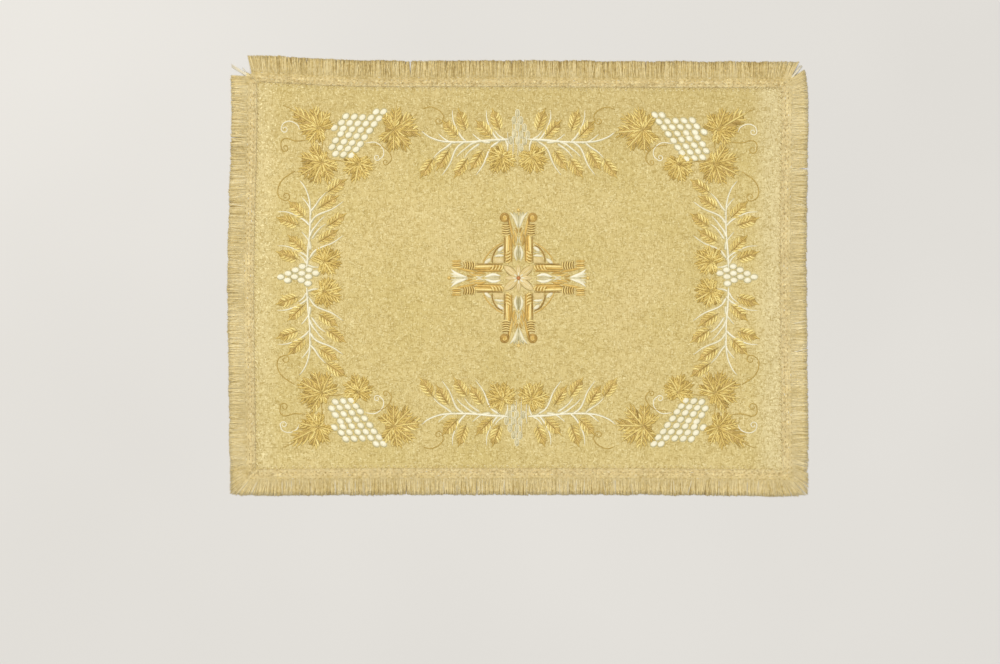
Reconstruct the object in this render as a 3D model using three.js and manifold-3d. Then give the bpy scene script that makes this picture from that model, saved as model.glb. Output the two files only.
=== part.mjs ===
// An aer: the large rectangular veil laid over the chalice and the diskos. A gold brocade panel lies flat,
// and a length of brush fringe is sewn over each of its four edges.
// Units are millimetres. +X runs along the long side, +Y to the upper edge as the cloth is laid out, +Z is up.
// The origin is on the surface that the cloth lies on, under the middle of its outline.
import * as THREE from "three";
import { mergeVertices } from "three/addons/utils/BufferGeometryUtils.js";
import Module from "manifold-3d";

const wasm = await Module();
wasm.setup();

// Driving dimensions. The whole cloth is 800 by 600 over the fringe.
const OVERALL_LENGTH = 800;
const OVERALL_WIDTH = 600;
const HEADING_WIDTH = 14.5;
const STRAND_LENGTH = 22.5;
const FRINGE_WIDTH = HEADING_WIDTH + STRAND_LENGTH;
const SEAM_HALF_X = OVERALL_LENGTH / 2 - FRINGE_WIDTH;
const SEAM_HALF_Y = OVERALL_WIDTH / 2 - FRINGE_WIDTH;

// Heights of the two layers, with the small clearance that keeps them apart.
const CLEARANCE = 0.3;
const PANEL_THICKNESS = 1.3;
const HEADING_THICKNESS = 1.1;
const HEADING_BOTTOM = PANEL_THICKNESS + CLEARANCE;
const PANEL_UNDER_HEADING = 11;

// The panel is a grid, fine enough for its low ridges.
const PANEL_CELLS_X = 28;
const PANEL_CELLS_Y = 20;
const RIDGE_FADE = 30;

// One lock stands for about nine of the real strands. It is level on the surface from a short way past its root.
const LOCK_PITCH = 9.6;
const LOCK_WIDTH = 8.3;
const LOCK_ROOT_THICKNESS = 0.8;
const LOCK_THICKNESS = 1.1;
const LOCK_TIP_THICKNESS = 0.7;
const LOCK_TIP_SHARE = 0.92;
const LOCK_CORNER_ROOM = LOCK_WIDTH * Math.SQRT1_2 + 2 * CLEARANCE;
const LOCK_DROP_RUN = 8;
const LOCK_EMBED = 1.5;
const HEADING_CELLS = 20;
const CORNER_FAN = THREE.MathUtils.degToRad(45);
const CORNER_FAN_RUN = 46;

// The cloth lies a little off square. Each pull moves the cloth around one place, less and less with distance.
const PULLS = [
  { x: -400, y: 300, reach: 130, dx: 0, dy: 9.5 },
  { x: -400, y: 215, reach: 90, dx: 2.2, dy: 0 },
  { x: -400, y: -20, reach: 150, dx: -3, dy: 0 },
  { x: 400, y: 230, reach: 110, dx: 1.2, dy: 0 },
  { x: 400, y: 20, reach: 140, dx: -1.2, dy: 0 },
  { x: -30, y: 300, reach: 190, dx: 0, dy: 1.4 },
  { x: 400, y: -300, reach: 140, dx: 1.5, dy: -2.5 },
  { x: -400, y: -300, reach: 140, dx: 0, dy: -1.5 },
];

// Low ridges where the cloth doesn't lie quite flat, each along a line from one place to another.
const RIDGES = [
  { fromX: -338, fromY: 230, toX: -342, toY: -210, width: 26, rise: 0.8 },
  { fromX: -112, fromY: 100, toX: -104, toY: -130, width: 34, rise: 0.7 },
  { fromX: 74, fromY: 60, toX: 84, toY: 160, width: 30, rise: 0.6 },
  { fromX: 112, fromY: 125, toX: 240, toY: -35, width: 44, rise: 0.8 },
  { fromX: -250, fromY: -150, toX: -180, toY: -235, width: 36, rise: 0.6 },
  { fromX: 330, fromY: 170, toX: 338, toY: -190, width: 28, rise: 0.5 },
];

// The four lengths of fringe, each turned a quarter from the one before. An end's fan says how far its strands
// spread round the corner, its stretch how much longer they get there, from 0 for a round corner to 1 for a
// square one, and its cut how much of the heading's corner is missing. The fringe's two raw ends meet at the
// upper left corner, so the strands hardly spread there.
const SIDES = [
  {
    name: "fringe_top", half: SEAM_HALF_X, out: SEAM_HALF_Y, quarterTurns: 0,
    start: { fan: 0.5, stretch: 0.8, cut: 7 }, end: { fan: 0.68, stretch: 0.8, cut: 0 },
  },
  {
    name: "fringe_right", half: SEAM_HALF_Y, out: SEAM_HALF_X, quarterTurns: 1,
    start: { fan: 0.95, stretch: 0, cut: 0 }, end: { fan: 1, stretch: 0.8, cut: 0 },
  },
  {
    name: "fringe_bottom", half: SEAM_HALF_X, out: SEAM_HALF_Y, quarterTurns: 2,
    start: { fan: 1, stretch: 0.8, cut: 0 }, end: { fan: 1, stretch: 0.8, cut: 0 },
  },
  {
    name: "fringe_left", half: SEAM_HALF_Y, out: SEAM_HALF_X, quarterTurns: 3,
    start: { fan: 1, stretch: 0.8, cut: 0 }, end: { fan: 0, stretch: 0.8, cut: 7 },
  },
];

// Places where the strands part and leave a gap that shows: how far along the side, and how wide at the tips.
const PARTINGS = [
  { side: "fringe_top", along: -150, opening: 3.6 },
  { side: "fringe_right", along: -151, opening: 2.6 },
  { side: "fringe_right", along: -118, opening: 1.6 },
  { side: "fringe_bottom", along: 58, opening: 1.8 },
  { side: "fringe_left", along: 190, opening: 1.8 },
];
const PARTING_REACH = 14;

// The narrow locks that lie loose across the two upper corners, each rooted near its side's far end.
const LOOSE_LOCKS = [
  { side: "fringe_left", fromCorner: 5.2, degrees: 31, width: 4.4, length: 23.5 },
  { side: "fringe_top", fromCorner: 2.6, degrees: 36, width: 3.4, length: 21.5 },
];

const brocade = new THREE.MeshStandardMaterial({ color: "#dcc886", roughness: 0.55, metalness: 0.15 });
const goldFringe = new THREE.MeshStandardMaterial({ color: "#dac68e", roughness: 0.75, metalness: 0 });

// A point of the flat cloth, moved to where it lies.
function laid(x, y) {
  let movedX = x;
  let movedY = y;
  for (const pull of PULLS) {
    const share = Math.exp(-((x - pull.x) ** 2 + (y - pull.y) ** 2) / pull.reach ** 2);
    movedX += pull.dx * share;
    movedY += pull.dy * share;
  }
  return [movedX, movedY];
}

// How far the panel's upper face rises at a point, from the ridges and down to nothing near the seam.
function ridgeHeight(x, y) {
  let rise = 0;
  for (const ridge of RIDGES) {
    const runX = ridge.toX - ridge.fromX;
    const runY = ridge.toY - ridge.fromY;
    const along = ((x - ridge.fromX) * runX + (y - ridge.fromY) * runY) / (runX ** 2 + runY ** 2);
    const nearest = THREE.MathUtils.clamp(along, 0, 1);
    const away = Math.hypot(x - ridge.fromX - nearest * runX, y - ridge.fromY - nearest * runY);
    rise += ridge.rise * Math.exp(-((away / ridge.width) ** 2));
  }
  const inside = Math.min(SEAM_HALF_X - Math.abs(x), SEAM_HALF_Y - Math.abs(y));
  return rise * THREE.MathUtils.smoothstep(inside, 0, RIDGE_FADE);
}

// Moves every vertex of a geometry by a function from three numbers to three numbers.
function reshape(geometry, move) {
  const position = geometry.getAttribute("position");
  for (let i = 0; i < position.count; i++) {
    position.setXYZ(i, ...move(position.getX(i), position.getY(i), position.getZ(i)));
  }
  geometry.computeVertexNormals();
  return geometry;
}

function solidOf(geometry) {
  const bare = new THREE.BufferGeometry().setIndex(geometry.index);
  bare.setAttribute("position", geometry.getAttribute("position"));
  const merged = mergeVertices(bare);
  const mesh = new wasm.Mesh({
    numProp: 3,
    vertProperties: new Float32Array(merged.getAttribute("position").array),
    triVerts: new Uint32Array(merged.index.array),
  });
  return new wasm.Manifold(mesh);
}

function geometryOf(solid) {
  const mesh = solid.getMesh();
  const geometry = new THREE.BufferGeometry();
  geometry.setAttribute("position", new THREE.BufferAttribute(mesh.vertProperties, 3));
  geometry.setIndex(new THREE.BufferAttribute(mesh.triVerts, 1));
  geometry.computeVertexNormals();
  return geometry;
}

// The brocade panel: flat underneath, with its edges under the fringe's heading.
function panelGeometry() {
  const length = 2 * (SEAM_HALF_X + PANEL_UNDER_HEADING);
  const width = 2 * (SEAM_HALF_Y + PANEL_UNDER_HEADING);
  const slab = new THREE.BoxGeometry(length, width, PANEL_THICKNESS, PANEL_CELLS_X, PANEL_CELLS_Y, 1);
  return reshape(slab, (x, y, z) => {
    const height = z > 0 ? PANEL_THICKNESS + ridgeHeight(x, y) : 0;
    return [...laid(x, y), height];
  });
}

// A side's own coordinates are along it, and out from the seam. This turns them into the cloth's.
function onSide(side, along, out) {
  const far = side.out + out;
  const turned = [
    [along, far],
    [far, -along],
    [-along, -far],
    [-far, along],
  ];
  return laid(...turned[side.quarterTurns]);
}

// The end of a side that a place along it is nearer to.
function nearEnd(side, along) {
  return along < 0 ? side.start : side.end;
}

// The woven heading: a flat strip over the panel's edge. Its ends are mitred, but straight where they are cut.
function headingGeometry(side) {
  const cut = Math.max(side.start.cut, side.end.cut);
  const rows = [0, HEADING_WIDTH - (cut || HEADING_WIDTH / 2), HEADING_WIDTH];
  const strip = new THREE.BoxGeometry(2, rows.length - 1, 1, HEADING_CELLS, rows.length - 1, 1);
  return reshape(strip, (x, y, z) => {
    const out = rows[Math.round(y + (rows.length - 1) / 2)];
    const mitre = Math.min(out, HEADING_WIDTH - nearEnd(side, x).cut);
    const along = x * (side.half + mitre - CLEARANCE / 2);
    return [...onSide(side, along, out), HEADING_BOTTOM + (z + 0.5) * HEADING_THICKNESS];
  });
}

// One lock of strands. It leaves the heading, comes down to the surface and lies level on it to its tip.
function lockGeometry(side, along, angle, width, length) {
  const sections = [
    { reach: -LOCK_EMBED, bottom: HEADING_BOTTOM + 0.15, thickness: LOCK_ROOT_THICKNESS, share: 1 },
    { reach: LOCK_DROP_RUN, bottom: 0, thickness: LOCK_THICKNESS, share: 1 },
    { reach: length, bottom: 0, thickness: LOCK_TIP_THICKNESS, share: LOCK_TIP_SHARE },
  ];
  const bar = new THREE.BoxGeometry(width, sections.length - 1, 1, 1, sections.length - 1, 1);
  return reshape(bar, (x, y, z) => {
    const section = sections[Math.round(y + (sections.length - 1) / 2)];
    const across = x * section.share;
    const place = onSide(
      side,
      along + section.reach * Math.sin(angle) + across * Math.cos(angle),
      HEADING_WIDTH + section.reach * Math.cos(angle) - across * Math.sin(angle),
    );
    return [...place, section.bottom + (z + 0.5) * section.thickness];
  });
}

// The angle at which a lock leaves the heading: spread at the corners, and turned away from each parting.
function lockAngle(side, along) {
  const half = side.half + HEADING_WIDTH;
  const nearCorner = THREE.MathUtils.clamp(1 - (half - Math.abs(along)) / CORNER_FAN_RUN, 0, 1);
  let angle = Math.sign(along) * nearEnd(side, along).fan * CORNER_FAN * nearCorner ** 1.6;
  for (const parting of PARTINGS) {
    if (parting.side !== side.name) continue;
    const away = along - parting.along;
    const lean = (parting.opening / 2 / STRAND_LENGTH) * Math.exp(-Math.abs(away) / PARTING_REACH);
    angle += Math.sign(away) * lean;
  }
  return angle + 0.012 * Math.sin(along / 23);
}

// A lock's length differs a little from its neighbours', and a lock that leans may be longer.
function lockLength(index, angle, stretch) {
  const trimmed = STRAND_LENGTH - 0.6 + 0.5 * Math.sin(index * 2.4) + 0.4 * Math.sin(index * 0.37 + 1);
  return trimmed / Math.cos(angle) ** stretch;
}

// How far the outermost lock's middle stays from the corner, clear of the fringe that comes round it.
function lockRoom(end) {
  return end.cut > 0 ? end.cut + LOCK_WIDTH / 2 : LOCK_CORNER_ROOM;
}

function fringeGeometry(side) {
  const solids = [solidOf(headingGeometry(side))];
  const half = side.half + HEADING_WIDTH;
  const first = -half + lockRoom(side.start);
  const last = half - lockRoom(side.end);
  const count = Math.floor((last - first) / LOCK_PITCH) + 1;
  for (let i = 0; i < count; i++) {
    const along = first + ((last - first) * i) / (count - 1);
    const angle = lockAngle(side, along);
    const length = lockLength(i, angle, nearEnd(side, along).stretch);
    solids.push(solidOf(lockGeometry(side, along, angle, LOCK_WIDTH, length)));
  }
  for (const loose of LOOSE_LOCKS) {
    if (loose.side !== side.name) continue;
    const angle = THREE.MathUtils.degToRad(loose.degrees);
    solids.push(solidOf(lockGeometry(side, half - loose.fromCorner, angle, loose.width, loose.length)));
  }
  return geometryOf(wasm.Manifold.union(solids));
}

function namedMesh(name, geometry, material) {
  const mesh = new THREE.Mesh(geometry, material);
  mesh.name = name;
  return mesh;
}

const aer = new THREE.Group();
aer.add(namedMesh("panel", panelGeometry(), brocade));
for (const side of SIDES) {
  aer.add(namedMesh(side.name, fringeGeometry(side), goldFringe));
}

// The origin goes under the middle of the outline that the laid cloth really has.
const outline = new THREE.Box3().setFromObject(aer, true);
const middle = outline.getCenter(new THREE.Vector3());
aer.position.set(-middle.x, -middle.y, -outline.min.z);

export default aer;
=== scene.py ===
import math

import bpy
import numpy as np
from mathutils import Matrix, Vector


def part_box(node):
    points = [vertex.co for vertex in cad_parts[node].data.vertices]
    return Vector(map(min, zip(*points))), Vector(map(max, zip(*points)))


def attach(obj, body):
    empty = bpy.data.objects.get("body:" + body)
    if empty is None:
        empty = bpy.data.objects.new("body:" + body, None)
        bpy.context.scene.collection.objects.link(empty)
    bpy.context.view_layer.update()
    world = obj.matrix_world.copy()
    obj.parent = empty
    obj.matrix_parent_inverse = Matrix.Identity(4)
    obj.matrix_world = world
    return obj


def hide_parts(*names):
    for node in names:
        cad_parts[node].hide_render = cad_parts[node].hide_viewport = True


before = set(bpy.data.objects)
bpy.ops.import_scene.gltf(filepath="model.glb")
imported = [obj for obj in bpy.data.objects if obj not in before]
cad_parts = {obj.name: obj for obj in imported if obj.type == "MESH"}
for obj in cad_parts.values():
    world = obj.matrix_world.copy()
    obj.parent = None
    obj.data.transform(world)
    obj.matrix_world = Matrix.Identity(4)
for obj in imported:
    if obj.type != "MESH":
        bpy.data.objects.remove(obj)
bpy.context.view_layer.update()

# Sizes are in millimetres, as in the part's source, and MM turns them into metres.
MM = 0.001
BODY = "root"

# Driving sizes of the cloth, the same as in the frame.
OVERALL_LENGTH = 800
OVERALL_WIDTH = 600
HEADING_WIDTH = 14.5
STRAND_LENGTH = 22.5
FRINGE_WIDTH = HEADING_WIDTH + STRAND_LENGTH
SEAM_HALF_X = OVERALL_LENGTH / 2 - FRINGE_WIDTH
SEAM_HALF_Y = OVERALL_WIDTH / 2 - FRINGE_WIDTH
PANEL_THICKNESS = 1.3
PANEL_UNDER_HEADING = 11
PANEL_HALF_X = SEAM_HALF_X + PANEL_UNDER_HEADING
PANEL_HALF_Y = SEAM_HALF_Y + PANEL_UNDER_HEADING
CORNER_FAN = math.radians(45)
CORNER_FAN_RUN = 46
# How far from a corner the yarn's look changes.
CORNER_LOOK_RUN = 75


def table(columns, *rows):
    """Rows of values, each by the names of its columns."""
    return [dict(zip(columns.split(), row)) for row in rows]


# The cloth lies a little off square. Each pull moves it around one place, less and less with distance.
PULLS = table(
    "x y reach dx dy",
    (-400, 300, 130, 0, 9.5),
    (-400, 215, 90, 2.2, 0),
    (-400, -20, 150, -3, 0),
    (400, 230, 110, 1.2, 0),
    (400, 20, 140, -1.2, 0),
    (-30, 300, 190, 0, 1.4),
    (400, -300, 140, 1.5, -2.5),
    (-400, -300, 140, 0, -1.5),
)

# Low ridges where the cloth doesn't lie quite flat, each along a line from one place to another.
RIDGES = table(
    "start end width rise",
    ((-338, 230), (-342, -210), 26, 0.8),
    ((-112, 100), (-104, -130), 34, 0.7),
    ((74, 60), (84, 160), 30, 0.6),
    ((112, 125), (240, -35), 44, 0.8),
    ((-250, -150), (-180, -235), 36, 0.6),
    ((330, 170), (338, -190), 28, 0.5),
)
RIDGE_FADE = 30

# The four lengths of fringe, placed as in the frame. An end's fan says how far its last strands lean round
# the corner, and its stretch how much longer they get there (below 0 they get shorter). Its cut says how much
# of the heading's corner is missing, and its room how far the strands stay from the corner. A side's light is
# a painted sheen added to its strands' tones, as strands that run one way catch more light than those that
# run the other; its vivid says how much they differ.
SQUARE_END = dict(fan=1, stretch=0.8, cut=0, room=0.7)
SIDES = [
    dict(
        name="fringe_top", half=SEAM_HALF_X, out=SEAM_HALF_Y, turns=0, light=0.03, vivid=1.85,
        start=dict(fan=0.4, stretch=0.8, cut=7, room=7), end=dict(fan=0.65, stretch=0.8, cut=0, room=2.0),
    ),
    dict(
        name="fringe_right", half=SEAM_HALF_Y, out=SEAM_HALF_X, turns=1, light=0.13, vivid=0.8,
        start=dict(fan=0.76, stretch=-0.6, cut=0, room=0.7), end=SQUARE_END,
    ),
    dict(
        name="fringe_bottom", half=SEAM_HALF_X, out=SEAM_HALF_Y, turns=2, light=0.18, vivid=1.35,
        start=SQUARE_END, end=SQUARE_END,
    ),
    dict(
        name="fringe_left", half=SEAM_HALF_Y, out=SEAM_HALF_X, turns=3, light=0.07, vivid=0.85,
        start=SQUARE_END, end=dict(fan=0, stretch=0.8, cut=7, room=7),
    ),
]
PARTINGS = table(
    "side along opening",
    ("fringe_top", -150, 3.6),
    ("fringe_right", -151, 2.6),
    ("fringe_right", -118, 1.6),
    ("fringe_bottom", 58, 1.8),
    ("fringe_left", 190, 1.8),
)
PARTING_REACH = 14
# Strands that lie loose across the two upper corners: how far from the corner they start, and how they lean.
LOOSE_BUNDLES = [
    dict(side="fringe_left", from_corner=5.2, degrees=31, length=23.5, count=7),
    dict(side="fringe_top", from_corner=0.3, degrees=38.5, length=21, count=5),
]

# Where the photograph's frame lies over the cloth: its scale, its middle and the cloth's middle, in pixels.
MM_PER_PIXEL = 1.3841
FRAME_PIXELS = 1000
FRAME_MIDDLE = (500, 332)
CLOTH_MIDDLE = (518.5, 276)


def smoothstep(value, low, high):
    share = np.clip((value - low) / (high - low), 0, 1)
    return share * share * (3 - 2 * share)


def pulled(points):
    """Points of the flat cloth, as rows of x and y, moved to where they lie."""
    points = np.asarray(points, float)
    x, y = points[:, 0], points[:, 1]
    moved = points[:, :2].copy()
    for pull in PULLS:
        share = np.exp(-((x - pull["x"]) ** 2 + (y - pull["y"]) ** 2) / pull["reach"] ** 2)
        moved[:, 0] += pull["dx"] * share
        moved[:, 1] += pull["dy"] * share
    return moved


# The frame's origin is under the middle of the laid outline, so the panel's own corner gives the shift to it.
EDGE_STEPS = 200
panel_low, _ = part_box("panel")
edge_y = np.linspace(-PANEL_HALF_Y, PANEL_HALF_Y, EDGE_STEPS)
edge_x = np.linspace(-PANEL_HALF_X, PANEL_HALF_X, EDGE_STEPS)
left_edge = pulled(np.stack([np.full(EDGE_STEPS, -PANEL_HALF_X), edge_y], 1))
lower_edge = pulled(np.stack([edge_x, np.full(EDGE_STEPS, -PANEL_HALF_Y)], 1))
SHIFT = np.array([panel_low.x / MM - left_edge[:, 0].min(), panel_low.y / MM - lower_edge[:, 1].min()])


def laid(points):
    return pulled(points) + SHIFT


class Ripples:
    """A smooth, uneven height made of many sine waves with set seeds."""

    def __init__(self, seed, shortest, longest, count=26):
        draw = np.random.default_rng(seed)
        length = np.exp(draw.uniform(math.log(shortest), math.log(longest), count))
        turn = draw.uniform(0, 2 * math.pi, count)
        self.waves = 2 * math.pi * np.stack([np.cos(turn), np.sin(turn)], 1) / length[:, None]
        self.phase = draw.uniform(0, 2 * math.pi, count)
        self.scale = math.sqrt(2 / count)

    def at(self, points):
        return np.sin(np.asarray(points, float)[:, :2] @ self.waves.T + self.phase).sum(1) * self.scale


CLOTH_RIPPLES = Ripples(seed=5, shortest=16, longest=60)
SEAM_PUCKERS = Ripples(seed=8, shortest=7, longest=16)
RIPPLE_RISE = 0.06
PUCKER_RISE = 0.15
PUCKER_REACH = 26


def inside_seam(points):
    """How far each point lies inside the nearest seam."""
    x, y = np.abs(points[:, 0]), np.abs(points[:, 1])
    return np.minimum(SEAM_HALF_X - x, SEAM_HALF_Y - y)


def panel_top(points):
    """Height of the panel's upper face above the surface that the cloth lies on."""
    points = np.asarray(points, float)[:, :2]
    rise = np.zeros(len(points))
    for ridge in RIDGES:
        start = np.array(ridge["start"], float)
        run = np.array(ridge["end"], float) - start
        share = np.clip((points - start) @ run / (run @ run), 0, 1)
        away = np.linalg.norm(points - start - share[:, None] * run, axis=1)
        rise += ridge["rise"] * np.exp(-((away / ridge["width"]) ** 2))
    inside = inside_seam(points)
    rise *= smoothstep(inside, 0, RIDGE_FADE)
    uneven = RIPPLE_RISE * CLOTH_RIPPLES.at(points)
    side = SEAM_HALF_X - np.abs(points[:, 0])
    uneven += PUCKER_RISE * SEAM_PUCKERS.at(points) * np.exp(-((side / PUCKER_REACH) ** 2))
    return PANEL_THICKNESS + rise + uneven * smoothstep(inside, -1, 7)


def run_along(path):
    """How far along a path each of its points lies."""
    return np.concatenate([[0], np.cumsum(np.linalg.norm(np.diff(path, axis=0), axis=1))])


def around_ring(count):
    """The numbers of a ring's points, and of the point after each."""
    return np.arange(count), (np.arange(count) + 1) % count


def grid_cells(number):
    """The four corners of each cell of a grid of point numbers."""
    cells = [number[:-1, :-1], number[:-1, 1:], number[1:, 1:], number[1:, :-1]]
    return np.stack(cells, 2).reshape(-1, 4)


def grid_rim(number):
    return np.concatenate([number[0, :-1], number[:-1, -1], number[-1, :0:-1], number[:0:-1, 0]])


def add_object(name, data):
    made = bpy.data.objects.new(name, data)
    bpy.context.scene.collection.objects.link(made)
    return made


class Shapes:
    """Collects closed shapes, to be joined into one mesh.

    Each vertex carries "thread": millimetres along the thread's crossing, place across it and height in it,
    and "tone": how light its thread is, from 0 to 1.
    """

    def __init__(self):
        self.points, self.faces, self.thread, self.tone = [], [], [], []
        self.count = 0

    def add(self, points, faces, thread, tone):
        self.points.append(np.asarray(points, float))
        self.faces.extend(np.asarray(group, int) + self.count for group in faces)
        self.thread.append(np.asarray(thread, float))
        self.tone.append(np.broadcast_to(tone, len(points)))
        self.count += len(points)

    def sweep(self, path, width, base, height, section, tone, along=None):
        """A closed bar along a path, of a section whose rows are places across it and heights in it."""
        path = np.asarray(path, float)
        steps, ring = len(path), len(section)
        run = np.gradient(path, axis=0)
        run /= np.linalg.norm(run, axis=1)[:, None]
        across = np.stack([-run[:, 1], run[:, 0]], 1)
        if along is None:
            along = run_along(path)
        half = np.broadcast_to(width, steps)[:, None, None] / 2
        flat = path[:, None] + across[:, None] * half * section[None, :, 0, None]
        flat = laid(flat.reshape(-1, 2))
        rise = np.broadcast_to(height, steps)[:, None] * section[None, :, 1]
        rise = np.broadcast_to(base, steps)[:, None] + rise
        points = np.column_stack([flat, rise.ravel()])
        row = np.arange(steps - 1)[:, None] * ring
        here, after = around_ring(ring)
        walls = np.stack([row + here, row + after, row + ring + after, row + ring + here], 2).reshape(-1, 4)
        ends = np.stack([here[::-1], (steps - 1) * ring + here])
        thread = np.column_stack(
            [np.repeat(along, ring), np.tile(section[:, 0], steps), np.tile(section[:, 1], steps)]
        )
        self.add(points, [walls, ends], thread, tone)

    def build(self, name, *materials, slots=None):
        points = np.concatenate(self.points) * MM
        sizes = np.concatenate([np.full(len(group), group.shape[1]) for group in self.faces])
        corners = np.concatenate([group.ravel() for group in self.faces])
        mesh = bpy.data.meshes.new(name)
        mesh.vertices.add(len(points))
        mesh.vertices.foreach_set("co", points.ravel())
        mesh.loops.add(len(corners))
        mesh.loops.foreach_set("vertex_index", corners)
        mesh.polygons.add(len(sizes))
        mesh.polygons.foreach_set("loop_start", np.cumsum(sizes) - sizes)
        mesh.polygons.foreach_set("use_smooth", np.ones(len(sizes), bool))
        mesh.update(calc_edges=True)
        thread = mesh.attributes.new("thread", "FLOAT_VECTOR", "POINT")
        thread.data.foreach_set("vector", np.concatenate(self.thread).ravel())
        tone = mesh.attributes.new("tone", "FLOAT", "POINT")
        tone.data.foreach_set("value", np.concatenate(self.tone))
        for material in materials:
            mesh.materials.append(material)
        if slots is not None:
            mesh.polygons.foreach_set("material_index", slots)
        mesh.validate()
        piece = add_object(name, mesh)
        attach(piece, BODY)
        return piece


def rgb(red, green, blue):
    """A colour as it looks on the screen, from 0 to 255, in Blender's linear values."""
    shares = [value / 255 for value in (red, green, blue)]
    linear = [s / 12.92 if s <= 0.04045 else ((s + 0.055) / 1.055) ** 2.4 for s in shares]
    return (*linear, 1)


class Look:
    """A material and short ways to add nodes to it."""

    def __init__(self, name):
        self.material = bpy.data.materials.new(name)
        self.material.use_nodes = True
        self.tree = self.material.node_tree
        self.shader = self.tree.nodes["Principled BSDF"]

    def node(self, kind, values=(), **settings):
        made = self.tree.nodes.new("ShaderNode" + kind)
        for key, value in settings.items():
            setattr(made, key, value)
        for key, value in dict(values).items():
            self.put(made.inputs[key], value)
        return made

    def put(self, socket, value):
        if isinstance(value, bpy.types.NodeSocket):
            self.tree.links.new(value, socket)
        else:
            socket.default_value = value

    def surface(self, **values):
        for key, value in values.items():
            self.put(self.shader.inputs[key.replace("_", " ")], value)

    def millimetres(self):
        where = self.node("TexCoord").outputs["Object"]
        scaled = self.node("VectorMath", {0: where, 1: (1 / MM,) * 3}, operation="MULTIPLY")
        return scaled.outputs[0]

    def stretched(self, place, x, y, z=1):
        return self.node("VectorMath", {0: place, 1: (x, y, z)}, operation="MULTIPLY").outputs[0]

    def noise(self, place, size, detail=1.0, roughness=0.5, distortion=0.0):
        """Noise with features of about this size in the place's own unit, from about 0.3 to 0.7."""
        values = {
            "Vector": place, "Scale": 1 / size, "Detail": detail, "Roughness": roughness,
            "Distortion": distortion,
        }
        return self.node("TexNoise", values).outputs["Fac"]

    def cells(self, place, size):
        """Cells of about this size, each with a number of its own from 0 to 1."""
        made = self.node("TexVoronoi", {"Vector": place, "Scale": 1 / size}, feature="F1")
        return self.split(made.outputs["Color"])[0]

    def math(self, operation, first, second=0.0, third=0.0):
        return self.node("Math", {0: first, 1: second, 2: third}, operation=operation).outputs[0]

    def times(self, first, second):
        return self.math("MULTIPLY", first, second)

    def less(self, first, second):
        return self.math("SUBTRACT", first, second)

    def times_plus(self, first, second, third):
        return self.math("MULTIPLY_ADD", first, second, third)

    def away(self, value, middle=0.0):
        """How far a value is from a middle."""
        return self.math("ABSOLUTE", self.less(value, middle))

    def between(self, value, low, high, to_low=0.0, to_high=1.0):
        values = {
            "Value": value, "From Min": low, "From Max": high, "To Min": to_low, "To Max": to_high,
        }
        return self.node("MapRange", values, interpolation_type="SMOOTHSTEP").outputs[0]

    def mix(self, share, first, second):
        made = self.node("Mix", data_type="RGBA")
        self.put(made.inputs[0], share)
        self.put(made.inputs[6], first)
        self.put(made.inputs[7], second)
        return made.outputs[2]

    def tinted(self, base, *layers):
        """The base turned towards other colours in turn: where, how strongly, and to which colour."""
        for where, strength, colour in layers:
            base = self.mix(self.times(where, strength), base, colour)
        return base

    def ramp(self, value, *stops):
        made = self.node("ValToRGB", {"Fac": value})
        while len(made.color_ramp.elements) < len(stops):
            made.color_ramp.elements.new(0.5)
        for element, (place, colour) in zip(made.color_ramp.elements, stops):
            element.position = place
            element.color = colour
        return made.outputs["Color"]

    def split(self, vector):
        return self.node("SeparateXYZ", {0: vector}).outputs

    def attribute(self, name, output="Fac"):
        return self.node("Attribute", attribute_name=name).outputs[output]

    def lines(self, value, pitch):
        """A soft wave from 0 to 1 along a value."""
        wave = self.math("SINE", self.times(value, 2 * math.pi / pitch))
        return self.times_plus(wave, 0.5, 0.5)

    def bump(self, height, depth):
        """A normal from a height of 0 to 1 that stands for a depth in millimetres."""
        values = {"Height": height, "Distance": depth * MM, "Strength": 1.0}
        self.put(self.shader.inputs["Normal"], self.node("Bump", values).outputs[0])


# Sizes in the brocade's weave.
WEFT_PITCH = 0.55
WARP_PITCH = 0.8
PATCH_SIZE = 12
CURL_SIZE = 5.8
DASH_LENGTH, DASH_BREADTH = 4.9, 1.55
CORD_PITCH = 3.0
GLINT_SIZE = 1.9
# Past this far from the middle, towards each side, the brocade is painted paler, with more glints: a painted
# sheen.
SIDE_BAND = 330


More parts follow.
